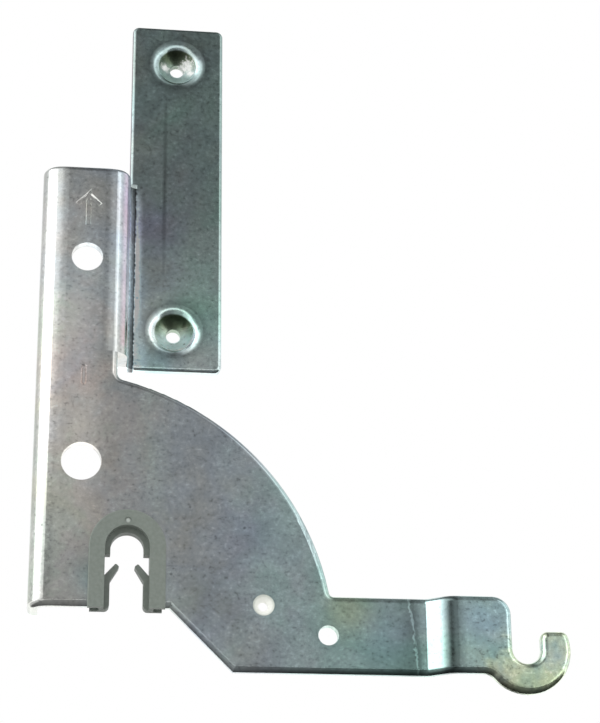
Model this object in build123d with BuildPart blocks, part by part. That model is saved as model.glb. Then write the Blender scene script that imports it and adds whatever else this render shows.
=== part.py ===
from build123d import *
import os
from math import cos, radians, sin, sqrt

# Door link of a dishwasher: a folded steel sheet and the plastic bush in its pivot slot.
# Sizes are in millimetres. The pivot axis is Y through the origin, at half the plate's thickness.
# X runs along the arm to the hook, Z up the column, and the plate's blanked face looks to -Y.

# Sheet, its bends and its edges
sheet = 2.5
bend_radius = 4.6  # outside, at both sides of the column
lead_radius = 14.0  # easier curve by which the plate runs into each bend
lead_turn = 12.0
fold_radius = 2.0  # inside, between web and tab
die_roll = 1.5  # edge rounding that blanking leaves on the face side
hole_roll = 0.1  # the same at the punched holes
tab_roll = 0.9  # the same round the screw tab

# Column
column_width = 22.4
column_offset = 12.05  # pivot to the column's centre line
column_top = 101.2
foot_drop = 14.25  # pivot down to the plate's foot
flange_depth = 11.6  # plate's face to the flange's free edge
hole_line = 11.6  # pivot to the line of the column's holes and marks
upper_hole = 7.7
upper_hole_height = 75.7
lower_hole = 9.65
lower_hole_height = 21.5

# Screw tab
tab_setback = 12.1  # plate's face to the tab's face
tab_width = 24.3
tab_height = 99.6
tab_clearance = 6.9  # sector's upper end to the tab's lower edge
tab_corner = 1.8
fold_relief = 1.2  # height of the notch above the fold

# Dished screw seats in the tab
screw_margin = 10.85  # tab's lower edge to the lower screw hole
screw_spacing = 77.5
screw_hole = 3.7
dish_rim = 15.0
dish_step = 10.0
dish_floor = 4.1
dish_shoulder = 0.95  # depth of the step below the tab's face
dish_depth = 3.6
dish_slope = 54.0  # fall of the bowl's wall below the step, flatter towards the hole
dish_wall = 2.0  # sheet left under the dish

# Sector between column and arm
sector_radius = 67.45
sector_centre_x = -17.6
sector_centre_z = -22.4
relief_width = 2.5  # column's right side to the inner wall of the bend relief
relief_radius = 2.0  # inner corner of the bend relief
sector_corner = 1.2  # inner corner between sector and arm

# Arm
arm_high = 10.6  # pivot down to the arm's upper edge
arm_low = 29.35  # pivot down to the arm's lower edge
chamfer_start = 10.3  # where the foot turns down to the arm
plain_hole = 4.85
plain_hole_x = 48.2
plain_hole_drop = 20.3
sunk_hole = 2.4
sunk_mouth = 5.1
sunk_hole_x = 32.7
sunk_hole_drop = 13.3
sunk_angle = 90.0

# Joggle that brings the hook forward
joggle_knee = 71.9  # where the arm leaves the plate's level
joggle_run = 5.0
joggle_rise = 4.0
knee_radius = 1.0
brow_radius = 6.0
joggle_margin = 3.0  # flat sheet kept at each end of the joggle

# Hook
hook_reach = 18.7  # joggle's end to the hook's centre
hook_depth = 12.8  # arm's upper edge down to the hook's centre
hook_mouth = 7.0
hook_outer = 10.75
hook_tip_height = 4.4  # hook's centre up to its tip
hook_shoulder = 4.5  # rounding at the top of the mouth's inner side
hook_throat = 3.0  # rounding under the arm
hook_tip_corner = 1.8

# Stamped fitting marks on the column
mark_depth = 0.45
mark_slope = 40.0  # lean of the walls that the punch leaves
mark_width = 1.4
arrow_height = 8.6
arrow_head = 2.9
arrow_drop = 8.2  # column's top down to the arrow's point
bar_length = 5.4
bar_centre_height = 43.9

# Pivot bush
pin_bore = 8.0
bush_wall = 2.5  # bore to the slot
slot_gap = 0.1  # bush to the slot's edge
lip_gap = 0.1  # lips to the sheet
lip_radius = 9.2
lip_bore = 10.7  # opening of the front lip, wider than the bore
front_lip = 1.2
back_lip = 0.9
back_lip_radius = 8.6
bore_recess = 2.2  # front lip's face to the start of the bore
bush_foot = 15.0
bore_end = 1.5  # pivot down to where the bore's arc stops
finger_root = 6.7
finger_reach = 3.0  # height that a finger climbs
finger_lean = 2.7  # how far it leans in
finger_thickness = 1.15  # at the tip
finger_heel = 1.4  # height of the thicker root
finger_round = 0.35
bush_edge = 0.3
leg_corner = 1.2
gate_mark = 1.6
gate_margin = 1.15  # opening of the front lip to the middle of the gate mark
gate_depth = 0.3

# Places that follow from the sizes
face = -sheet / 2
column_left = -column_offset - column_width / 2
column_right = -column_offset + column_width / 2
lead_run = lead_radius * sin(radians(lead_turn))
lead_fall = lead_radius * (1 - cos(radians(lead_turn)))
bend_run = lead_run + bend_radius * (1 - sin(radians(lead_turn)))
bend_fall = lead_fall + bend_radius * cos(radians(lead_turn))
left_tangent = column_left + bend_run
right_tangent = column_right - bend_run
relief_x = column_right - relief_width
sector_foot_x = sector_centre_x + sqrt(sector_radius**2 - (arm_high + sector_centre_z) ** 2)
sector_head_z = sector_centre_z + sqrt(sector_radius**2 - (relief_x - sector_centre_x) ** 2)
tab_face = face + tab_setback
tab_right = column_right + tab_width
tab_foot = sector_head_z + tab_clearance
tab_top = tab_foot + tab_height
fold_end_x = column_right + fold_radius
web_end = tab_face - fold_radius
tab_middle_x = (column_right + tab_right) / 2
screw_low_z = tab_foot + screw_margin
screw_heights = (screw_low_z, screw_low_z + screw_spacing)
joggle_start = joggle_knee - joggle_margin
joggle_end = joggle_knee + joggle_run
hook_start = joggle_end + joggle_margin
hook_face = face - joggle_rise
hook_x = joggle_end + hook_reach
hook_z = -arm_high - hook_depth
tip_z = hook_z + hook_tip_height
slot_radius = pin_bore / 2 + bush_wall + slot_gap
tolerance = 1e-4


def upright(y):
    return Plane.XZ.offset(-y)


def face_edges(block, seams):
    """Edges round the block's foremost face, without those where it joins its neighbours.

    A seam is an axis letter and a place on that axis.
    """
    edges = block.faces().sort_by(Axis.Y)[0].edges()
    for axis, place in seams:
        edges = [edge for edge in edges if abs(getattr(edge.center(), axis) - place) > tolerance]
    return edges


def hole_rims(block):
    """Edges round the openings in the block's foremost face."""
    openings = block.faces().sort_by(Axis.Y)[0].inner_wires()
    return [edge for opening in openings for edge in opening.edges()]


def rim_edges(block, skin, heights):
    """Edges at these heights that follow the outer line of a folded section."""
    found = []
    for edge in block.edges():
        middle = edge @ 0.5
        level = edge.bounding_box().size.Z < tolerance
        on_skin = skin.distance_to(Vertex(middle.X, middle.Y, 0)) < tolerance
        if level and on_skin and any(abs(middle.Z - height) < tolerance for height in heights):
            found.append(edge)
    return found


# Lower plate: foot, pivot slot, sector and arm as far as the joggle
sector_turn = sector_radius / sqrt(2)
with BuildPart(upright(face)) as lower_plate:
    with BuildSketch(upright(face)) as outline:
        with BuildLine():
            Polyline(
                (relief_x, sector_head_z),
                (relief_x, tab_foot),
                (left_tangent, tab_foot),
                (left_tangent, -foot_drop),
                (chamfer_start, -foot_drop),
                (chamfer_start + arm_low - foot_drop, -arm_low),
                (joggle_start, -arm_low),
                (joggle_start, -arm_high),
                (sector_foot_x, -arm_high),
            )
            ThreePointArc(
                (sector_foot_x, -arm_high),
                (sector_centre_x + sector_turn, sector_centre_z + sector_turn),
                (relief_x, sector_head_z),
            )
        make_face()
        fillet(outline.vertices().sort_by_distance((relief_x, sector_head_z))[0], relief_radius)
        fillet(outline.vertices().sort_by_distance((sector_foot_x, -arm_high))[0], sector_corner)
        Circle(slot_radius, mode=Mode.SUBTRACT)
        Rectangle(2 * slot_radius, foot_drop, align=(Align.CENTER, Align.MAX), mode=Mode.SUBTRACT)
    extrude(amount=-sheet)
    plate_seams = [("X", left_tangent), ("Z", tab_foot), ("X", joggle_start)]
    fillet(face_edges(lower_plate, plate_seams), die_roll)
    with Locations((-hole_line, lower_hole_height)):
        Hole(lower_hole / 2)
    with Locations((plain_hole_x, -plain_hole_drop)):
        Hole(plain_hole / 2)
    fillet(hole_rims(lower_plate), hole_roll)
    with Locations((sunk_hole_x, -sunk_hole_drop)):
        CounterSinkHole(sunk_hole / 2, sunk_mouth / 2, counter_sink_angle=sunk_angle)

# Flange along the column's left side, with its bend
with BuildPart() as flange:
    with BuildSketch(Plane.XY.offset(-foot_drop)):
        with BuildLine():
            flange_line = Line((column_left, face + flange_depth), (column_left, face + bend_fall))
            left_bend = JernArc(flange_line @ 1, (0, -1), bend_radius, 90 - lead_turn)
            left_lead = JernArc(left_bend @ 1, left_bend % 1, lead_radius, lead_turn)
            flange_skin = Wire([flange_line.edge(), left_bend.edge(), left_lead.edge()])
            offset(amount=sheet, side=Side.LEFT)
        make_face()
    extrude(amount=column_top + foot_drop)
    fillet(rim_edges(flange, flange_skin, (-foot_drop, column_top)), die_roll)

# Upper column and the web that is folded back on its right side
with BuildPart(upright(face)) as channel:
    with BuildSketch(Plane.XY.offset(tab_foot)):
        with BuildLine():
            plate_line = Line((left_tangent, face), (right_tangent, face))
            right_lead = JernArc(plate_line @ 1, (1, 0), lead_radius, lead_turn)
            right_bend = JernArc(right_lead @ 1, right_lead % 1, bend_radius, 90 - lead_turn)
            web_line = Line(right_bend @ 1, (column_right, web_end))
            channel_skin = Wire([line.edge() for line in (plate_line, right_lead, right_bend, web_line)])
            offset(amount=sheet, side=Side.LEFT)
        make_face()
    extrude(amount=column_top - tab_foot)
    with Locations((-hole_line, upper_hole_height)):
        Hole(upper_hole / 2)
    fillet(hole_rims(channel), hole_roll)
    fillet(rim_edges(channel, channel_skin, (column_top,)), die_roll)

# Fold between web and tab
with BuildPart() as fold:
    with BuildSketch(Plane.XY.offset(tab_foot)):
        with BuildLine():
            inner_arc = TangentArc((column_right, web_end), (fold_end_x, tab_face), tangent=(0, 1))
            outer_arc = TangentArc(
                (column_right - sheet, web_end), (fold_end_x, tab_face + sheet), tangent=(0, 1)
            )
            Line(inner_arc @ 0, outer_arc @ 0)
            Line(inner_arc @ 1, outer_arc @ 1)
        make_face()
    extrude(amount=column_top - tab_foot)

# Screw tab with its two dished seats
bowl_fall = (-cos(radians(dish_slope)), sin(radians(dish_slope)))
with BuildPart(upright(tab_face)) as tab:
    with BuildSketch(upright(tab_face)) as tab_outline:
        with BuildLine():
            Polyline(
                (fold_end_x, tab_foot),
                (tab_right, tab_foot),
                (tab_right, tab_top),
                (column_right, tab_top),
                (column_right, column_top + fold_relief),
                (fold_end_x, column_top + fold_relief),
                close=True,
            )
        make_face()
        right_corners = tab_outline.vertices().group_by(Axis.X)[-1]
        top_left_corner = tab_outline.vertices().sort_by_distance((column_right, tab_top))[0]
        fillet(right_corners + [top_left_corner], tab_corner)
    extrude(amount=-sheet)
    fillet(face_edges(tab, [("X", fold_end_x), ("Z", column_top + fold_relief)]), tab_roll)
    for height in screw_heights:
        with Locations((tab_middle_x, height)):
            Hole(dish_rim / 2)
        with BuildSketch(Plane(origin=(tab_middle_x, tab_face, height), x_dir=(1, 0, 0), z_dir=(0, 0, 1))):
            with BuildLine():
                rim_arc = TangentArc((dish_rim / 2, 0), (dish_step / 2, dish_shoulder), tangent=(-1, 0))
                bowl_arc = TangentArc(rim_arc @ 1, (dish_floor / 2, dish_depth), tangent=bowl_fall)
                Polyline(
                    bowl_arc @ 1,
                    (screw_hole / 2, dish_depth),
                    (screw_hole / 2, dish_depth + dish_wall),
                    (dish_floor / 2 + dish_wall, dish_depth + dish_wall),
                    (dish_rim / 2, sheet),
                    rim_arc @ 0,
                )
            make_face()
        revolve(axis=Axis((tab_middle_x, tab_face, height), (0, 1, 0)))

# Joggle of the arm
with BuildPart() as joggle:
    with BuildSketch(Plane.XY.offset(-arm_low)):
        with BuildLine():
            joggle_skin = FilletPolyline(
                (joggle_start, face),
                (joggle_knee, face),
                (joggle_end, hook_face),
                (hook_start, hook_face),
                radius=(knee_radius, brow_radius),
            )
            offset(amount=sheet, side=Side.LEFT)
        make_face()
    extrude(amount=arm_low - arm_high)
    fillet(rim_edges(joggle, joggle_skin, (-arm_low, -arm_high)), die_roll)

# Hook, on the level that the joggle gives
mouth_left = hook_x - hook_mouth / 2
mouth_right = hook_x + hook_mouth / 2
tip_right = hook_x + sqrt(hook_outer**2 - hook_tip_height**2)
throat_x = hook_x - sqrt(hook_outer**2 - (hook_z + arm_low) ** 2)
with BuildPart() as hook:
    with BuildSketch(upright(hook_face)) as hook_outline:
        with Locations((hook_start, -arm_high)):
            Rectangle(mouth_left - hook_start, arm_low - arm_high, align=(Align.MIN, Align.MAX))
        with Locations((hook_x, hook_z)):
            Circle(hook_outer)
            Circle(hook_mouth / 2, mode=Mode.SUBTRACT)
            Rectangle(hook_mouth, hook_outer, align=(Align.CENTER, Align.MIN), mode=Mode.SUBTRACT)
        with Locations((hook_x, tip_z)):
            Rectangle(2 * hook_outer, hook_outer, align=(Align.MIN, Align.MIN), mode=Mode.SUBTRACT)
        corners = [
            ((mouth_left, -arm_high), hook_shoulder),
            ((throat_x, -arm_low), hook_throat),
            ((tip_right, tip_z), hook_tip_corner),
            ((mouth_right, tip_z), hook_tip_corner),
        ]
        for place, rounding in corners:
            fillet(hook_outline.vertices().sort_by_distance(place)[0], rounding)
    extrude(amount=-sheet)
    fillet(face_edges(hook, [("X", hook_start)]), die_roll)

# The folded sheet in one piece, with its stamped marks
with BuildPart() as link_arm:
    for block in (lower_plate, flange, channel, fold, tab, joggle, hook):
        add(block.part)
    arrow_top = column_top - arrow_drop
    with BuildSketch(upright(face)):
        with BuildLine():
            Line((-hole_line, arrow_top - arrow_height), (-hole_line, arrow_top))
            Polyline(
                (-hole_line - arrow_head, arrow_top - arrow_head),
                (-hole_line, arrow_top),
                (-hole_line + arrow_head, arrow_top - arrow_head),
            )
        trace(line_width=mark_width)
        with Locations((-hole_line, bar_centre_height)):
            SlotOverall(bar_length, mark_width, rotation=90)
    extrude(amount=-mark_depth, taper=mark_slope, mode=Mode.SUBTRACT)

# Pivot bush: lips in front of and behind the sheet, a bore, and fingers that snap under the pin
lip_front = face - lip_gap - front_lip
bore_front = lip_front + bore_recess
bush_back = face + sheet + lip_gap + back_lip
core_radius = pin_bore / 2 + bush_wall


def arch(radius, mode=Mode.ADD):
    """Round-topped opening or outline about the pivot, with straight sides down to the bush's foot."""
    Circle(radius, mode=mode)
    Rectangle(2 * radius, bush_foot, align=(Align.CENTER, Align.MAX), mode=mode)


with BuildPart() as pivot_bush:
    with BuildSketch(upright(lip_front)):
        arch(lip_radius)
    extrude(amount=-front_lip)
    with BuildSketch(upright(lip_front)):
        arch(core_radius)
    extrude(amount=lip_front - bush_back)
    with BuildSketch(upright(bush_back - back_lip)):
        arch(back_lip_radius)
    extrude(amount=-back_lip)
    lip_edges = pivot_bush.faces().sort_by(Axis.Y)[0].outer_wire().edges()
    fillet([edge for edge in lip_edges if edge.center().Z > tolerance - bush_foot], bush_edge)
    with BuildSketch(upright(lip_front)):
        arch(lip_bore / 2)
    extrude(amount=-bore_recess, mode=Mode.SUBTRACT)
    with BuildSketch(upright(bore_front)):
        arch(pin_bore / 2)
        with Locations((0, -bore_end)):
            Rectangle(lip_bore, finger_root - bore_end, align=(Align.CENTER, Align.MAX))
    extrude(amount=bore_front - bush_back, mode=Mode.SUBTRACT)
    foot_edges = pivot_bush.edges().filter_by(Axis.Y).group_by(Axis.Z)[0]
    fillet([edge for edge in foot_edges if abs(abs(edge.center().X) - pin_bore / 2) < tolerance], leg_corner)
    root = Vector(-lip_bore / 2, -finger_root)
    climb = Vector(finger_lean, finger_reach)
    across = climb.normalized().rotate(Axis.Z, -90) * finger_thickness
    heel = finger_root + finger_heel
    with BuildSketch(upright(bore_front)) as fingers:
        with BuildLine():
            Polyline(
                root,
                root + climb,
                root + climb + across,
                (-pin_bore / 2, -heel),
                (-lip_bore / 2, -heel),
                close=True,
            )
        make_face()
        tip = fingers.vertices().sort_by_distance(root + climb)[0]
        fillet([tip, fingers.vertices().sort_by_distance(root + climb + across)[0]], finger_round)
        mirror(about=Plane.YZ)
    extrude(amount=bore_front - bush_back)
    with BuildSketch(upright(lip_front)):
        with Locations((0, lip_bore / 2 + gate_margin)):
            Circle(gate_mark / 2)
    extrude(amount=-gate_depth, mode=Mode.SUBTRACT)

os.makedirs("parts", exist_ok=True)
link_arm.part.label = "link_arm"
pivot_bush.part.label = "pivot_bush"
export_step(link_arm.part, "parts/link_arm.step")
export_step(pivot_bush.part, "parts/pivot_bush.step")
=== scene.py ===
import bpy
from math import pi, radians, sin
from mathutils import Matrix, Vector

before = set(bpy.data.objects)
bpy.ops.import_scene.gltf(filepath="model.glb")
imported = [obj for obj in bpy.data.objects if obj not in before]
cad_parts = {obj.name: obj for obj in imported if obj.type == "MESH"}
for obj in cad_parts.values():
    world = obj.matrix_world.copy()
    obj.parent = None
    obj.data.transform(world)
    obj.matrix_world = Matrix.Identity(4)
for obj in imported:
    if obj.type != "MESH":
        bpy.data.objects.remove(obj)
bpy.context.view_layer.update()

mm = 0.001
print("frame loaded:", sorted(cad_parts))


def linearColour(hexText):
    parts = [int(hexText[i:i + 2], 16) / 255 for i in (1, 3, 5)]
    return [c / 12.92 if c <= 0.04045 else ((c + 0.055) / 1.055) ** 2.4 for c in parts] + [1.0]


def greyColour(level):
    return [level] * 3 + [1.0]


# Sockets go by number where their names repeat: Map Range 0 value, 1-2 from, 3-4 to, and Mix 6-7 colours
def addNode(tree, kind, settings={}, inputs={}, stops=()):
    node = tree.nodes.new(kind)
    for name, value in settings.items():
        setattr(node, name, value)
    for socket, value in inputs.items():
        if isinstance(value, bpy.types.Node):  # a node stands for its first output in use
            value = next(output for output in value.outputs if output.enabled)
        if isinstance(value, bpy.types.NodeSocket):
            tree.links.new(value, node.inputs[socket])
        else:
            node.inputs[socket].default_value = value
    for i, (place, colour) in enumerate(stops):  # a colour ramp starts with two stops
        ramp = node.color_ramp.elements
        stop = ramp[i] if i < 2 else ramp.new(place)
        stop.position = place
        stop.color = linearColour(colour) if isinstance(colour, str) else greyColour(colour)
    return node


def newMaterial(name):
    material = bpy.data.materials.new(name)
    material.use_nodes = True
    material.node_tree.nodes.clear()
    return material, material.node_tree


# Settings that many nodes share
smooth = {"interpolation_type": "SMOOTHSTEP"}
blended = {"data_type": "RGBA"}
multiplied = {"data_type": "RGBA", "blend_type": "MULTIPLY"}
noiseSpan = {1: 0.3, 2: 0.7}  # most of a noise lies between these
white = greyColour(1.0)
faceOnly = (1, 0, 1)  # takes the depth out of a place


def fromMm(span):
    return {1: span[0] * mm, 2: span[1] * mm}


# Camera, low and a little to the left, as the part was photographed
view = {
    "target": (42.05, -1.25, 49.45),  # mm, on the plate's face
    "distance": 513.6,
    "turn": -7.69,  # degrees
    "rise": -21.5,
    "roll": -0.63,
    "lens": 102.29,  # mm
    "film": 36,
    "clip": (0.01, 20),  # metres
}


def aimed(turn, rise):
    return Matrix.Rotation(radians(turn), 4, "Z") @ Matrix.Rotation(radians(90 - rise), 4, "X")


camData = bpy.data.cameras.new("photoCamera")
camData.lens = view["lens"]
camData.sensor_width = view["film"]
camData.sensor_fit = "AUTO"
camData.clip_start, camData.clip_end = view["clip"]
camera = bpy.data.objects.new("photoCamera", camData)
bpy.context.scene.collection.objects.link(camera)
aimPoint = Matrix.Translation(Vector(view["target"]) * mm)
tilted = aimed(view["turn"], view["rise"]) @ Matrix.Rotation(radians(view["roll"]), 4, "Z")
camera.matrix_world = aimPoint @ tilted @ Matrix.Translation((0, 0, view["distance"] * mm))
bpy.context.scene.camera = camera
print("camera at", [round(v, 3) for v in camera.matrix_world.translation])

# Surround that the metal mirrors: white behind and at the sides, dim in front, dark above and below
surround = {
    "ring": [  # degrees to the right of straight in front, and the light from there
        (-180, 0.88), (-150, 0.88), (-98, 0.88), (-84, 1.05), (-62, 0.9), (-50, 0.45), (-38, 0.28),
        (-20, 0.26), (-10, 0.4), (-4, 0.54), (0, 0.53), (3, 0.4), (6, 0.34), (9, 0.38), (12, 0.52),
        (15, 0.75), (20, 0.9), (30, 1.0), (38, 2.1), (44, 2.5), (54, 1.2), (69, 0.9), (92, 1.25),
        (106, 1.1), (119, 0.95), (130, 0.85), (148, 0.6), (160, 0.8), (180, 0.8)],
    "frontRise": [  # degrees above the horizon, and how much of the ring's light is left there
        (-90, 0.03), (-45, 0.05), (-38, 0.3), (-26, 1.5), (-12, 1.4), (-4, 0.9), (4, 0.8), (12, 1.0),
        (20, 1.0), (23, 0.87), (26, 0.66), (30, 0.56), (36, 0.45), (50, 0.3), (90, 0.2)],
    "sideRise": [
        (-90, 0.1), (-30, 0.2), (-18, 0.5), (-6, 0.9), (4, 1.0), (44, 1.0), (55, 0.4), (90, 0.2)],
    "sides": [(-60, 1), (-25, 0), (25, 0), (60, 1)],  # where the side rise takes over
    "panelLow": {"rise": 14, "turn": -43},  # right side of a big soft panel on the left
    "panelHigh": {"rise": 26, "turn": -19},
    "panelBlur": (-19, 9),
    "panelLeft": (-100, -82),
    "panelGlow": 1.6,
    "wallGlow": 1.15,  # white wall behind
    "wallBack": (0.78, 0.93),  # how squarely back a direction points where the wall starts and is full
    "wallHighBack": (0.35, 0.55),  # the same further up, where the wall is wider
    "wallHighRise": (34, 44),
}


def ringPlace(turn):
    return (turn + 180) / 360


def risePlace(rise):
    return (sin(radians(rise)) + 1) / 2


world = bpy.data.worlds.new("studioWorld")
bpy.context.scene.world = world
world.use_nodes = True
sky = world.node_tree
sky.nodes.clear()
skyPlace = addNode(sky, "ShaderNodeTexCoord").outputs["Generated"]
skyX, skyY, skyZ = addNode(sky, "ShaderNodeSeparateXYZ", {}, {0: skyPlace}).outputs
skyFront = addNode(sky, "ShaderNodeMath", {"operation": "MULTIPLY"}, {0: skyY, 1: -1.0})
skyTurn = addNode(sky, "ShaderNodeMath", {"operation": "ARCTAN2"}, {0: skyX, 1: skyFront})
skyRound = addNode(sky, "ShaderNodeMapRange", {}, {0: skyTurn, 1: -pi, 2: pi})
skyHeight = addNode(sky, "ShaderNodeMapRange", {}, {0: skyZ, 1: -1.0, 2: 1.0})
skyRing, skySides = [addNode(sky, "ShaderNodeValToRGB", {}, {0: skyRound}, [
    (ringPlace(turn), level) for turn, level in surround[name]]) for name in ("ring", "sides")]
frontRise, sideRise = [addNode(sky, "ShaderNodeValToRGB", {}, {0: skyHeight}, [
    (risePlace(rise), level) for rise, level in surround[name]]) for name in ("frontRise", "sideRise")]
skyRise = addNode(sky, "ShaderNodeMix", blended, {"Factor": skySides, 6: frontRise, 7: sideRise})
skyAround = addNode(sky, "ShaderNodeMix", multiplied, {"Factor": 1.0, 6: skyRing, 7: skyRise})

low, high = surround["panelLow"], surround["panelHigh"]
panelSide = addNode(sky, "ShaderNodeMapRange", {}, {
    0: skyHeight, 1: risePlace(low["rise"]), 2: risePlace(high["rise"]),
    3: ringPlace(low["turn"]), 4: ringPlace(high["turn"])})
panelInside = addNode(sky, "ShaderNodeMath", {"operation": "SUBTRACT"}, {0: panelSide, 1: skyRound})
panelRight = addNode(sky, "ShaderNodeMapRange", smooth, {
    0: panelInside, 1: surround["panelBlur"][0] / 360, 2: surround["panelBlur"][1] / 360,
    4: surround["panelGlow"]})
panelLeft = addNode(sky, "ShaderNodeMapRange", smooth, {
    0: skyRound, 1: ringPlace(surround["panelLeft"][0]), 2: ringPlace(surround["panelLeft"][1])})
panelWide = addNode(sky, "ShaderNodeMath", {"operation": "MULTIPLY"}, {0: panelRight, 1: panelLeft})
panelGlow = addNode(sky, "ShaderNodeMath", {"operation": "MULTIPLY"}, {0: panelWide, 1: sideRise})
skyLit = addNode(sky, "ShaderNodeMix", {"data_type": "RGBA", "blend_type": "ADD"}, {
    "Factor": 1.0, 6: skyAround, 7: panelGlow})

wallBack = addNode(sky, "ShaderNodeMapRange", smooth, {
    0: skyY, 1: surround["wallBack"][0], 2: surround["wallBack"][1]})
wallHighBack = addNode(sky, "ShaderNodeMapRange", smooth, {
    0: skyY, 1: surround["wallHighBack"][0], 2: surround["wallHighBack"][1]})
wallUp = addNode(sky, "ShaderNodeMapRange", smooth, {
    0: skyHeight, 1: risePlace(surround["wallHighRise"][0]), 2: risePlace(surround["wallHighRise"][1])})
wallHigh = addNode(sky, "ShaderNodeMath", {"operation": "MULTIPLY"}, {0: wallHighBack, 1: wallUp})
wall = addNode(sky, "ShaderNodeMath", {"operation": "MAXIMUM"}, {0: wallBack, 1: wallHigh})
skyLight = addNode(sky, "ShaderNodeMix", blended, {
    "Factor": wall, 6: skyLit, 7: greyColour(surround["wallGlow"])})
skyRay = addNode(sky, "ShaderNodeLightPath").outputs
skySeen = addNode(sky, "ShaderNodeMix", blended, {
    "Factor": skyRay["Is Camera Ray"], 6: skyLight, 7: white})
skyGlow = addNode(sky, "ShaderNodeBackground", {}, {"Color": skySeen, "Strength": 1.0})
addNode(sky, "ShaderNodeOutputWorld", {}, {"Surface": skyGlow})

# Soft boxes, which light the plastic and the rough pale spots
softBoxes = {
    "leftSoftBox": {"turn": -47, "rise": 28, "size": (1.2, 0.7), "glow": 0.4},  # degrees and metres
    "rightSoftBox": {"turn": 45, "rise": 18, "size": (0.6, 0.8), "glow": 0.3},
}
boxDistance = 0.95  # metres

for name, box in softBoxes.items():
    lamp = bpy.data.lights.new(name, "AREA")
    lamp.shape = "RECTANGLE"
    lamp.size, lamp.size_y = box["size"]
    lamp.energy = box["glow"] * pi * lamp.size * lamp.size_y
    lampObject = bpy.data.objects.new(name, lamp)
    bpy.context.scene.collection.objects.link(lampObject)
    boxPlace = Matrix.Translation((0, 0, boxDistance))
    lampObject.matrix_world = aimPoint @ aimed(box["turn"], box["rise"]) @ boxPlace
    lampObject.visible_glossy = False  # the metal mirrors the softer surround instead

# Pale painted floor, plain white to the camera and in the metal
floorLook = {"size": 6, "drop": 0.36, "colour": "#E6E6E4", "roughness": 0.9, "glow": 0.8}  # metres

bpy.ops.object.select_all(action="DESELECT")
bpy.ops.mesh.primitive_plane_add(size=floorLook["size"], location=(0, 0, -floorLook["drop"]))
floor = bpy.context.object
floor.name = "studioFloor"
floorMaterial, floorTree = newMaterial("paintedFloor")
floorRay = addNode(floorTree, "ShaderNodeLightPath").outputs
floorMirrored = addNode(floorTree, "ShaderNodeMath", {"operation": "MAXIMUM"}, {
    0: floorRay["Is Camera Ray"], 1: floorRay["Is Glossy Ray"]})
floorSeen = addNode(floorTree, "ShaderNodeMath", {"operation": "MAXIMUM"}, {
    0: floorMirrored, 1: floorRay["Is Transmission Ray"]})
floorGlow = addNode(floorTree, "ShaderNodeMath", {"operation": "MULTIPLY"}, {
    0: floorSeen, 1: floorLook["glow"]})
floorSkin = addNode(floorTree, "ShaderNodeBsdfPrincipled", {}, {
    "Base Color": linearColour(floorLook["colour"]), "Roughness": floorLook["roughness"],
    "Emission Color": white, "Emission Strength": floorGlow})
addNode(floorTree, "ShaderNodeOutputMaterial", {}, {"Surface": floorSkin})
floor.data.materials.append(floorMaterial)

# Grey card under the part, seen only in the metal's lower edges
cardLook = {
    "middle": (0.05, -0.125, -0.09),  # metres
    "size": (0.6, 0.65),
    "leftTones": [  # from its front to its back
        (0.0, 0.36), (0.5, 0.34), (0.62, 0.28), (0.70, 0.23), (0.77, 0.16), (0.83, 0.12), (1.0, 0.12)],
    "rightTones": [(0.0, 0.22), (0.44, 0.18), (0.61, 0.14), (0.67, 0.08), (0.74, 0.04), (1.0, 0.03)],
    "leftToRight": (-0.06, 0.0),  # shares of its width, from the middle
    "farLeft": (-0.22, -0.29),
    "farLeftTone": 0.8,
}

bpy.ops.object.select_all(action="DESELECT")
bpy.ops.mesh.primitive_plane_add(size=1, location=cardLook["middle"])
card = bpy.context.object
card.name = "darkCard"
card.scale = cardLook["size"] + (1,)
card.visible_camera = card.visible_diffuse = card.visible_shadow = card.visible_transmission = False
cardMaterial, cardTree = newMaterial("greyCard")
cardPlace = addNode(cardTree, "ShaderNodeTexCoord").outputs["Object"]
cardAxes = addNode(cardTree, "ShaderNodeSeparateXYZ", {}, {0: cardPlace}).outputs
cardDepth = addNode(cardTree, "ShaderNodeMapRange", {}, {
    0: cardAxes["Y"], 1: -0.5, 2: 0.5})  # its own front and back edges, before it is scaled
cardLeft = addNode(cardTree, "ShaderNodeValToRGB", {}, {0: cardDepth}, cardLook["leftTones"])
cardRight = addNode(cardTree, "ShaderNodeValToRGB", {}, {0: cardDepth}, cardLook["rightTones"])
cardSide = addNode(cardTree, "ShaderNodeMapRange", smooth, {
    0: cardAxes["X"], 1: cardLook["leftToRight"][0], 2: cardLook["leftToRight"][1]})
cardShade = addNode(cardTree, "ShaderNodeMix", blended, {"Factor": cardSide, 6: cardLeft, 7: cardRight})
cardEnd = addNode(cardTree, "ShaderNodeMapRange", smooth, {
    0: cardAxes["X"], 1: cardLook["farLeft"][0], 2: cardLook["farLeft"][1]})
cardWhole = addNode(cardTree, "ShaderNodeMix", blended, {
    "Factor": cardEnd, 6: cardShade, 7: greyColour(cardLook["farLeftTone"])})
cardSkin = addNode(cardTree, "ShaderNodeEmission", {}, {"Color": cardWhole})
addNode(cardTree, "ShaderNodeOutputMaterial", {}, {"Surface": cardSkin})
card.data.materials.append(cardMaterial)
print("studio ready")

# The steel's colour is made of layers, multiplied: each is a shade and the parts in whose overlap it shows.
# Sizes are in mm. A span runs from where a part starts to where it is full, or over a row of tones.

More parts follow.
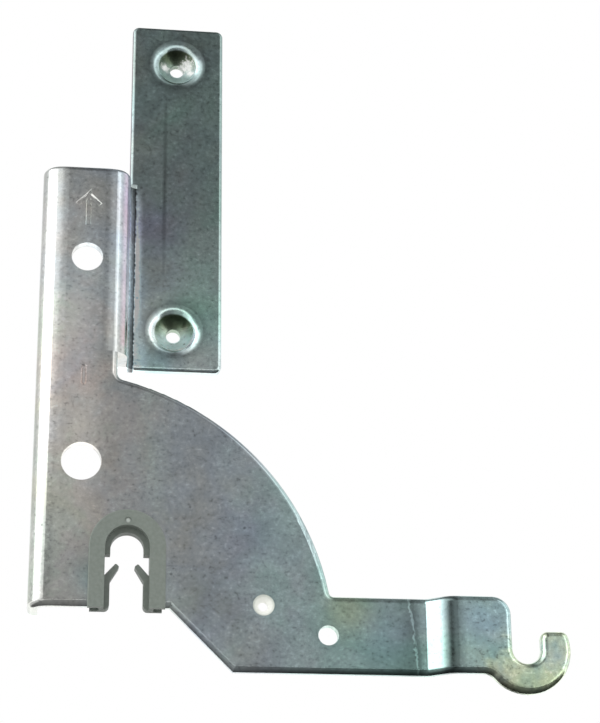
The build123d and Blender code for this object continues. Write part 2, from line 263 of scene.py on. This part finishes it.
# Clear passivation: faintly rosy on the column, blue-green along the arm, yellowish at the hook, in clouds;
# at the hook the tint is also a painted highlight, much lighter than the rest
passivationLook = {
    "tints": [
        (0.0, "#D6DDD3"), (0.06, "#DADAD4"), (0.12, "#D7D7D3"), (0.22, "#CFD6D5"), (0.38, "#C9D4DA"),
        # the last tint, at the hook, is lightened as a painted highlight
        (0.55, "#C6DBDD"), (0.75, "#C2DBDB"), (0.88, "#CBDEDA"), (1.0, "#FAFBD8")],
    "along": (-22, 106),  # along the arm
    "climb": (30, 130),  # up the column
    "climbShift": 0.3,  # how far the tint moves on over the climb
    "clouds": {"Scale": 1 / (22 * mm), "Detail": 4.0, "Roughness": 0.65},
    "cloudSwing": 0.16,
    "film": {"Scale": 1 / (34 * mm), "Detail": 3.0, "Roughness": 0.6, "Distortion": 0.6},
    "filmLean": (-0.1, 0.14),  # from the column to the hook
    "filmTints": [(0.32, "#EAE5E2"), (0.44, "#E9E9ED"), (0.54, "#F2F5F3"), (0.68, "#DCEFE7")],
    "stains": [  # middle, reach and tint
        ((52.5, 0, -14), 10, "#FFFAE0"), ((63, 0, -21), 11, "#F2F7FF"), ((86, 0, -17), 9, "#ECF1FF"),
        ((-8, 0, -7), 9, "#E2F6F1"), ((-16, 0, 46), 14, "#FFF1F1"), ((4, 0, 90), 12, "#F1EAFF"),
        ((18, 0, 66), 13, "#E6FFF2"), ((30, 0, 5), 12, "#F9F7FF"), ((94, 0, -32), 8, "#E3F2F4"),
        ((7, 0, 53), 9, "#DCF0F5"), ((20, 0, -12), 11, "#EAE8E6"), ((89.5, 0, -26), 6, "#DFF2F5")],
    "stainEdge": (1.5, 0.5),  # shares of a stain's reach
}


def passivationLayers(tree, at):
    look = passivationLook
    along = addNode(tree, "ShaderNodeMapRange", {}, {0: at["x"], **fromMm(look["along"])})
    climb = addNode(tree, "ShaderNodeMapRange", {}, {
        0: at["z"], **fromMm(look["climb"]), 4: look["climbShift"]})
    clouds = addNode(tree, "ShaderNodeTexNoise", {}, {"Vector": at["place"], **look["clouds"]})
    drift = addNode(tree, "ShaderNodeMapRange", {}, {
        0: clouds, **noiseSpan, 3: -look["cloudSwing"], 4: look["cloudSwing"]})
    climbed = addNode(tree, "ShaderNodeMath", {"operation": "ADD"}, {0: along, 1: climb})
    tintPlace = addNode(tree, "ShaderNodeMath", {"operation": "ADD", "use_clamp": True}, {
        0: climbed, 1: drift})
    tint = addNode(tree, "ShaderNodeValToRGB", {}, {0: tintPlace}, look["tints"])
    filmNoise = addNode(tree, "ShaderNodeTexNoise", {}, {"Vector": at["place"], **look["film"]})
    filmLean = addNode(tree, "ShaderNodeMapRange", {}, {
        0: along, 3: look["filmLean"][0], 4: look["filmLean"][1]})
    filmPlace = addNode(tree, "ShaderNodeMath", {"operation": "ADD"}, {0: filmNoise, 1: filmLean})
    film = addNode(tree, "ShaderNodeValToRGB", {}, {0: filmPlace}, look["filmTints"])
    layers = [(tint,), (film,)]
    for middle, reach, stainTint in look["stains"]:
        away = addNode(tree, "ShaderNodeVectorMath", {"operation": "DISTANCE"}, {
            0: at["flat"], 1: Vector(middle) * mm})
        ragged = addNode(tree, "ShaderNodeMath", {"operation": "MULTIPLY_ADD"}, {
            0: clouds, 1: reach * mm, 2: away})
        part = addNode(tree, "ShaderNodeMapRange", smooth, {
            0: ragged, **fromMm([share * reach for share in look["stainEdge"]])})
        layers.append((linearColour(stainTint), part))
    return layers


# Rolled sheet: soft mottling, a fine grain along the rolling, a few pits, and a painted highlight on the
# column's front towards the left bend
sheetLook = {
    "mottle": {"Scale": 1 / (6 * mm), "Detail": 3.0, "Roughness": 0.6},
    "mottleTones": [(0.3, 0.9), (0.7, 1.1)],
    "grain": {"Scale": 1.0, "Detail": 3.0, "Roughness": 0.6},
    "grainSize": (0.95, 0.8, 0.8),  # longer along the rolling, and drawn coarse enough to show
    "grainTones": [(0.27, 0.62), (0.40, 0.94), (0.60, 1.03), (0.75, 1.25)],
    "hook": (76, 90),  # the grain is twice as strong there
    "pits": {"Scale": 1 / (7 * mm)},
    "pitTones": [(0.03, 0.55), (0.07, 1.0)],
    # painted highlight: the column's front face is lightened towards the left bend, most between its foot
    # and top
    "columnHighlightTone": 1.58,
    "columnHighlightAcross": (-3, -13),  # towards the left bend
    "columnHighlightFront": (1.5, 0),
    "columnHighlightClimb": (-10, 95),
    "columnHighlightUp": [(0.05, 0.0), (0.4, 1.0), (0.7, 0.9), (1.0, 0.45)],
}


def sheetLayers(tree, at):
    look = sheetLook
    mottle = addNode(tree, "ShaderNodeValToRGB", {}, {0: at["mottle"]}, look["mottleTones"])
    grain = addNode(tree, "ShaderNodeValToRGB", {}, {0: at["grain"]}, look["grainTones"])
    hook = addNode(tree, "ShaderNodeMapRange", {}, {0: at["x"], **fromMm(look["hook"])})
    pitNoise = addNode(tree, "ShaderNodeTexVoronoi", {}, {"Vector": at["place"], **look["pits"]})
    pits = addNode(tree, "ShaderNodeValToRGB", {}, {0: pitNoise}, look["pitTones"])
    columnHighlightAcross = addNode(tree, "ShaderNodeMapRange", smooth, {
        0: at["x"], **fromMm(look["columnHighlightAcross"])})
    columnHighlightFront = addNode(tree, "ShaderNodeMapRange", {}, {0: at["y"], **fromMm(look["columnHighlightFront"])})
    columnHighlightClimb = addNode(tree, "ShaderNodeMapRange", {}, {0: at["z"], **fromMm(look["columnHighlightClimb"])})
    columnHighlightUp = addNode(tree, "ShaderNodeValToRGB", {}, {0: columnHighlightClimb}, look["columnHighlightUp"])
    # the column's painted highlight
    columnHighlight = greyColour(look["columnHighlightTone"])
    return [(mottle,), (grain,), (grain, hook), (pits,), (columnHighlight, columnHighlightAcross, columnHighlightFront, columnHighlightUp)]


# Drawn screw seats: a painted highlight on each rim, in a darker ring, and bowls with painted shade above
# and painted light below, scuffed rough below
seatLook = {
    "upper": (11.3, 0, 138.78),
    "lower": (11.3, 0, 61.28),
    "ring": (0, 10),  # out from the axis
    # painted highlight on the rim, then a darker ring
    "rimHighlightTones": [(0.46, 1.0), (0.51, 1.3), (0.59, 1.3), (0.68, 0.85), (0.76, 0.72), (0.95, 1.0)],
    "bowl": (5.3, 4.9),
    "bowlHalf": 4,  # above and below the axis
    # painted light in the bowls' lower halves, painted shade in their upper halves
    "bowlPaintedTones": [(0.0, 1.5), (0.4, 1.4), (0.6, "#F6F8E6"), (0.8, "#9A9C84"), (1.0, "#6C6E58")],
    "bowlRoughness": (0.6, 0.27),  # lower and upper half
    "bowlChange": (0.3, 0.7),  # shares of the height over which one turns into the other
}


def seatLayers(tree, at):
    look = seatLook
    upper, lower = [Vector(look[name]) * mm for name in ("upper", "lower")]
    upperAway, lowerAway = [addNode(tree, "ShaderNodeVectorMath", {"operation": "DISTANCE"}, {
        0: at["flat"], 1: axis}) for axis in (upper, lower)]
    away = addNode(tree, "ShaderNodeMath", {"operation": "MINIMUM"}, {0: upperAway, 1: lowerAway})
    ringSpan = addNode(tree, "ShaderNodeMapRange", {}, {0: away, **fromMm(look["ring"])})
    ring = addNode(tree, "ShaderNodeValToRGB", {}, {0: ringSpan}, look["rimHighlightTones"])
    bowl = addNode(tree, "ShaderNodeMapRange", {}, {0: away, **fromMm(look["bowl"])})
    halfWay = (upper.z - lower.z) / 2  # both bowls take their height from the lower one's axis
    height = addNode(tree, "ShaderNodeMath", {"operation": "WRAP"}, {
        0: at["z"], 1: lower.z + halfWay, 2: lower.z - halfWay})
    bowlHalf = look["bowlHalf"] * mm
    bowlUp = addNode(tree, "ShaderNodeMapRange", {}, {
        0: height, 1: lower.z - bowlHalf, 2: lower.z + bowlHalf})
    # the bowls' painted light and shade
    bowlPaintedTone = addNode(tree, "ShaderNodeValToRGB", {}, {0: bowlUp}, look["bowlPaintedTones"])
    bowlGloss = addNode(tree, "ShaderNodeMapRange", {}, {
        0: bowlUp, 1: look["bowlChange"][0], 2: look["bowlChange"][1],
        3: look["bowlRoughness"][0], 4: look["bowlRoughness"][1]})
    roughness = addNode(tree, "ShaderNodeMath", {"operation": "MULTIPLY"}, {0: bowl, 1: bowlGloss})
    return [(ring,), (bowlPaintedTone, bowl)], roughness


# Tab and fold: painted light low on the tab and painted shade from its middle up, a dark streak, a painted
# shadow in the crease and painted highlights beside it
tabLook = {
    "depth": (9.5, 10.5),
    "height": (55, 95),
    # painted light low on the tab, painted shade from its middle up
    "tones": [(0.0, 1.38), (0.35, 1.03), (1.0, 0.69)],
    "tint": "#FAFFF8",
    "streak": (8.3, 0, 103),
    "streakReach": (0.8, 1, 32),
    "streakTones": [(0.0, 0.5), (1.0, 1.0)],
    "creaseWander": 0.2,
    "creaseAcross": (-0.7, 1.4),
    # painted shadow along the crease of the fold
    "foldShadowTones": [(0.0, 1.0), (0.2, 0.3), (0.42, 0.12), (0.55, 0.05), (0.75, 0.05), (0.9, 1.0)],
    "creaseDepth": (9.0, 9.3),
    "creaseTop": (102.6, 102),
    "rosyTone": (1.1, 0.9, 0.98, 1),  # times red, green and blue, on the outer side of the bend
    "rosyAcross": (-3.2, -0.6),
    "rosySides": [(0.0, 0.0), (0.4, 1.0), (0.97, 1.0), (1.0, 0.0)],
    "rosyHeight": (52, 53),
    # painted highlight beside the fold
    "bandHighlightTone": (1.4, 1.52, 1.7, 1),  # wide and bluish, low on the tab
    "bandAcross": (5.5, 1),
    "bandTop": (92, 62),
    "gleamTone": (3.0, 3.05, 3.15, 1),  # narrow, along the upper crease
    "gleamAcross": (3.2, 1.2),
    "gleamClimb": (60, 102),
    "gleamUp": [(0.0, 0.0), (0.3, 0.7), (0.55, 1.0), (0.85, 0.8), (1.0, 0.0)],
}


def tabLayers(tree, at):
    look = tabLook
    deep = addNode(tree, "ShaderNodeMapRange", {}, {0: at["y"], **fromMm(look["depth"])})
    height = addNode(tree, "ShaderNodeMapRange", {}, {0: at["z"], **fromMm(look["height"])})
    # the tab's painted light and shade
    paintedShading = addNode(tree, "ShaderNodeValToRGB", {}, {0: height}, look["tones"])
    tinted = addNode(tree, "ShaderNodeMix", multiplied, {
        "Factor": 1.0, 6: paintedShading, 7: linearColour(look["tint"])})
    streakAway = addNode(tree, "ShaderNodeVectorMath", {"operation": "SUBTRACT"}, {
        0: at["flat"], 1: Vector(look["streak"]) * mm})
    streakFit = addNode(tree, "ShaderNodeVectorMath", {"operation": "DIVIDE"}, {
        0: streakAway, 1: Vector(look["streakReach"]) * mm})
    streakSpan = addNode(tree, "ShaderNodeVectorMath", {"operation": "LENGTH"}, {0: streakFit})
    streak = addNode(tree, "ShaderNodeValToRGB", {}, {0: streakSpan}, look["streakTones"])

    creaseWander = addNode(tree, "ShaderNodeMapRange", {}, {
        0: at["grain"], **noiseSpan, 3: -look["creaseWander"] * mm, 4: look["creaseWander"] * mm})
    creaseOff = addNode(tree, "ShaderNodeMath", {"operation": "ADD"}, {0: at["x"], 1: creaseWander})
    creaseSpan = addNode(tree, "ShaderNodeMapRange", {}, {0: creaseOff, **fromMm(look["creaseAcross"])})
    # painted shadow in the crease
    foldShadow = addNode(tree, "ShaderNodeValToRGB", {}, {0: creaseSpan}, look["foldShadowTones"])
    creaseDeep = addNode(tree, "ShaderNodeMapRange", {}, {0: at["y"], **fromMm(look["creaseDepth"])})
    creaseLow = addNode(tree, "ShaderNodeMapRange", {}, {0: at["z"], **fromMm(look["creaseTop"])})

    rosySpan = addNode(tree, "ShaderNodeMapRange", {}, {0: at["x"], **fromMm(look["rosyAcross"])})
    rosySide = addNode(tree, "ShaderNodeValToRGB", {}, {0: rosySpan}, look["rosySides"])
    rosyHigh = addNode(tree, "ShaderNodeMapRange", {}, {0: at["z"], **fromMm(look["rosyHeight"])})
    bandAcross = addNode(tree, "ShaderNodeMapRange", smooth, {0: at["x"], **fromMm(look["bandAcross"])})
    bandLow = addNode(tree, "ShaderNodeMapRange", smooth, {0: at["z"], **fromMm(look["bandTop"])})
    gleamAcross = addNode(tree, "ShaderNodeMapRange", smooth, {
        0: at["x"], **fromMm(look["gleamAcross"])})
    gleamClimb = addNode(tree, "ShaderNodeMapRange", {}, {0: at["z"], **fromMm(look["gleamClimb"])})
    gleamUp = addNode(tree, "ShaderNodeValToRGB", {}, {0: gleamClimb}, look["gleamUp"])
    return [
        (tinted, deep), (streak,), (foldShadow, creaseDeep, creaseLow), (look["rosyTone"], rosySide, rosyHigh),
        (look["bandHighlightTone"], bandAcross, bandLow, deep), (look["gleamTone"], gleamAcross, gleamUp, deep)]


# Arm: painted shade towards the joggle and over its brow, with a broken pale line where the bend opened the
# plating
armLook = {
    "along": (55, 85),
    # painted shade towards the joggle and a dark painted band over its brow
    "tones": [
        (0.0, 1.0), (0.30, 0.8), (0.44, 0.58), (0.49, 0.66), (0.56, 1.05), (0.66, 1.0), (0.70, 0.5),
        (0.745, 0.3), (0.80, 0.6), (0.87, 1.0)],
    "crack": (68.85, 0, -20),
    "crackNormal": (0.994, 0, 0.111),
    "crackWander": 0.4,
    "crackJags": 0.35,
    "crackAcross": (-1, 1.5),
    "crackTones": [(0.26, 1.0), (0.33, 1.75), (0.48, 1.75), (0.55, 0.7), (0.75, 0.75), (0.95, 1.0)],
    "crackFront": (0, -0.5),
    "crackBreaks": [(0.38, 0.0), (0.46, 1.0)],
}


def armLayers(tree, at):
    look = armLook
    along = addNode(tree, "ShaderNodeMapRange", {}, {0: at["x"], **fromMm(look["along"])})
    # the arm's painted shade
    paintedShading = addNode(tree, "ShaderNodeValToRGB", {}, {0: along}, look["tones"])
    crackAway = addNode(tree, "ShaderNodeVectorMath", {"operation": "SUBTRACT"}, {
        0: at["flat"], 1: Vector(look["crack"]) * mm})
    crackSide = addNode(tree, "ShaderNodeVectorMath", {"operation": "DOT_PRODUCT"}, {
        0: crackAway, 1: look["crackNormal"]})
    wander = addNode(tree, "ShaderNodeMapRange", {}, {
        0: at["mottle"], **noiseSpan, 3: -look["crackWander"] * mm, 4: look["crackWander"] * mm})
    jags = addNode(tree, "ShaderNodeMapRange", {}, {
        0: at["grain"], **noiseSpan, 3: -look["crackJags"] * mm, 4: look["crackJags"] * mm})
    bent = addNode(tree, "ShaderNodeMath", {"operation": "ADD"}, {0: wander, 1: jags})
    crackOff = addNode(tree, "ShaderNodeMath", {"operation": "ADD"}, {0: crackSide, 1: bent})
    crackSpan = addNode(tree, "ShaderNodeMapRange", {}, {0: crackOff, **fromMm(look["crackAcross"])})
    crack = addNode(tree, "ShaderNodeValToRGB", {}, {0: crackSpan}, look["crackTones"])
    front = addNode(tree, "ShaderNodeMapRange", {}, {0: at["y"], **fromMm(look["crackFront"])})
    breaks = addNode(tree, "ShaderNodeValToRGB", {}, {0: at["grain"]}, look["crackBreaks"])
    return [(paintedShading,), (crack, front, breaks)]


# Bare spots: a countersink, a rough pale cone that is whitest at its hole, and scuffs on the upper seat
# whose near-white is also a painted glint
bareLook = {
    "sunkHole": (32.7, 0, -13.3),
    "sunkRim": (2.6, 2.56),
    "sunkWall": (1.2, 2.6),
    "sunkTones": [(0.0, "#FBFCF7"), (0.55, "#F0F2EC"), (1.0, "#BFC6BD")],  # from its hole outwards
    "scuffs": [  # middle and reach
        ((13.8, 0, 139.9), 2.3), ((8.0, 0, 139.2), 1.4), ((14.9, 0, 137.6), 1.3)],
    "scuffRagged": 2,  # shares of a scuff's reach
    "scuffEdge": (2.1, 1.1),
    # near-white scuffs, partly painted glints
    "scuffAndGlintTone": "#FFFFFD",
}


def bareSpots(tree, at, plated):
    look = bareLook
    away = addNode(tree, "ShaderNodeVectorMath", {"operation": "DISTANCE"}, {
        0: at["flat"], 1: Vector(look["sunkHole"]) * mm})
    sunk = addNode(tree, "ShaderNodeMapRange", {}, {0: away, **fromMm(look["sunkRim"])})
    sunkSpan = addNode(tree, "ShaderNodeMapRange", {}, {0: away, **fromMm(look["sunkWall"])})
    sunkTone = addNode(tree, "ShaderNodeValToRGB", {}, {0: sunkSpan}, look["sunkTones"])
    colour = plated
    bare = sunk
    for middle, reach in look["scuffs"]:
        scuffAway = addNode(tree, "ShaderNodeVectorMath", {"operation": "DISTANCE"}, {
            0: at["flat"], 1: Vector(middle) * mm})
        ragged = addNode(tree, "ShaderNodeMath", {"operation": "MULTIPLY_ADD"}, {
            0: at["grain"], 1: look["scuffRagged"] * reach * mm, 2: scuffAway})
        scuff = addNode(tree, "ShaderNodeMapRange", smooth, {
            0: ragged, **fromMm([share * reach for share in look["scuffEdge"]])})
        colour = addNode(tree, "ShaderNodeMix", blended, {
            "Factor": scuff, 6: colour, 7: linearColour(look["scuffAndGlintTone"])})
        bare = addNode(tree, "ShaderNodeMath", {"operation": "MAXIMUM"}, {0: bare, 1: scuff})
    colour = addNode(tree, "ShaderNodeMix", {"data_type": "RGBA", "clamp_result": True}, {
        "Factor": sunk, 6: colour, 7: sunkTone})
    return colour, bare


# Zinc plated sheet steel, blanked and bent: a satin, cloudy metal, faintly rippled
steelLook = {"roughness": (0.15, 0.23), "ripple": 0.3, "rippleHeight": 0.02}


def zincPlatedSteel():
    material, tree = newMaterial("zincPlatedSteel")
    place = addNode(tree, "ShaderNodeTexCoord").outputs["Object"]
    x, y, z = addNode(tree, "ShaderNodeSeparateXYZ", {}, {0: place}).outputs
    flat = addNode(tree, "ShaderNodeVectorMath", {"operation": "MULTIPLY"}, {0: place, 1: faceOnly})
    mottle = addNode(tree, "ShaderNodeTexNoise", {}, {"Vector": place, **sheetLook["mottle"]})
    grainPlace = addNode(tree, "ShaderNodeVectorMath", {"operation": "DIVIDE"}, {
        0: place, 1: Vector(sheetLook["grainSize"]) * mm})
    grain = addNode(tree, "ShaderNodeTexNoise", {}, {"Vector": grainPlace, **sheetLook["grain"]})
    at = {"place": place, "flat": flat, "x": x, "y": y, "z": z, "mottle": mottle, "grain": grain}

    seats, seatRoughness = seatLayers(tree, at)
    layers = passivationLayers(tree, at) + sheetLayers(tree, at) + seats
    layers += tabLayers(tree, at) + armLayers(tree, at)
    plated = white
    for shade, *parts in layers:
        cover = 1.0
        for part in parts:
            cover = addNode(tree, "ShaderNodeMath", {"operation": "MULTIPLY"}, {0: cover, 1: part})
        plated = addNode(tree, "ShaderNodeMix", multiplied, {"Factor": cover, 6: plated, 7: shade})
    colour, bare = bareSpots(tree, at, plated)

    metal = addNode(tree, "ShaderNodeMath", {"operation": "SUBTRACT"}, {0: 1.0, 1: bare})
    satin = addNode(tree, "ShaderNodeMapRange", {}, {
        0: grain, **noiseSpan, 3: steelLook["roughness"][0], 4: steelLook["roughness"][1]})
    drawn = addNode(tree, "ShaderNodeMath", {"operation": "MAXIMUM"}, {0: satin, 1: seatRoughness})
    rough = addNode(tree, "ShaderNodeMath", {"operation": "MAXIMUM"}, {0: drawn, 1: bare})
    ripple = addNode(tree, "ShaderNodeBump", {}, {
        "Strength": steelLook["ripple"], "Distance": steelLook["rippleHeight"] * mm, "Height": mottle})
    skin = addNode(tree, "ShaderNodeBsdfPrincipled", {}, {
        "Base Color": colour, "Metallic": metal, "Roughness": rough, "Normal": ripple})
    addNode(tree, "ShaderNodeOutputMaterial", {}, {"Surface": skin})
    return material


# Grey acetal, injection moulded: matt and even, with a very fine grain, a pale gate mark and painted shade
# deeper in its recess
bushLook = {
    "colours": [(0.3, "#747C75"), (0.7, "#7F8780")],
    "grain": {"Scale": 1 / (0.8 * mm), "Detail": 2.0},  # drawn coarser than the moulded one, to show
    "grainBump": 0.4,
    "grainHeight": 0.03,
    "roughness": (0.42, 0.58),
    "gate": (0, 0, 6.5),
    "gateEdge": (0.65, 0.35),
    "gateColour": "#B9C0BA",
    "recess": (-1.6, -0.2),  # from front to back
    # painted shade, darker deeper in the recess
    "recessShadeTones": [(0.0, 1.0), (1.0, 0.8)],
}


def mouldedAcetal():
    look = bushLook
    material, tree = newMaterial("mouldedAcetal")
    place = addNode(tree, "ShaderNodeTexCoord").outputs["Object"]
    depth = addNode(tree, "ShaderNodeSeparateXYZ", {}, {0: place}).outputs["Y"]
    flat = addNode(tree, "ShaderNodeVectorMath", {"operation": "MULTIPLY"}, {0: place, 1: faceOnly})
    grain = addNode(tree, "ShaderNodeTexNoise", {}, {"Vector": place, **look["grain"]})
    colour = addNode(tree, "ShaderNodeValToRGB", {}, {0: grain}, look["colours"])
    recess = addNode(tree, "ShaderNodeMapRange", {}, {0: depth, **fromMm(look["recess"])})
    recessShadeTone = addNode(tree, "ShaderNodeValToRGB", {}, {0: recess}, look["recessShadeTones"])
    shaded = addNode(tree, "ShaderNodeMix", multiplied, {"Factor": 1.0, 6: colour, 7: recessShadeTone})
    gateAway = addNode(tree, "ShaderNodeVectorMath", {"operation": "DISTANCE"}, {
        0: flat, 1: Vector(look["gate"]) * mm})
    gate = addNode(tree, "ShaderNodeMapRange", {}, {0: gateAway, **fromMm(look["gateEdge"])})
    marked = addNode(tree, "ShaderNodeMix", blended, {
        "Factor": gate, 6: shaded, 7: linearColour(look["gateColour"])})
    matt = addNode(tree, "ShaderNodeMapRange", {}, {
        0: grain, **noiseSpan, 3: look["roughness"][0], 4: look["roughness"][1]})
    texture = addNode(tree, "ShaderNodeBump", {}, {
        "Strength": look["grainBump"], "Distance": look["grainHeight"] * mm, "Height": grain})
    skin = addNode(tree, "ShaderNodeBsdfPrincipled", {}, {
        "Base Color": marked, "Roughness": matt, "Normal": texture})
    addNode(tree, "ShaderNodeOutputMaterial", {}, {"Surface": skin})
    return material


def dressNode(node, material):
    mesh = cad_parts[node].data
    mesh.materials.clear()
    mesh.materials.append(material)


dressNode("link_arm", zincPlatedSteel())
dressNode("pivot_bush", mouldedAcetal())
print("materials on")

bpy.context.scene.view_settings.view_transform = "Standard"
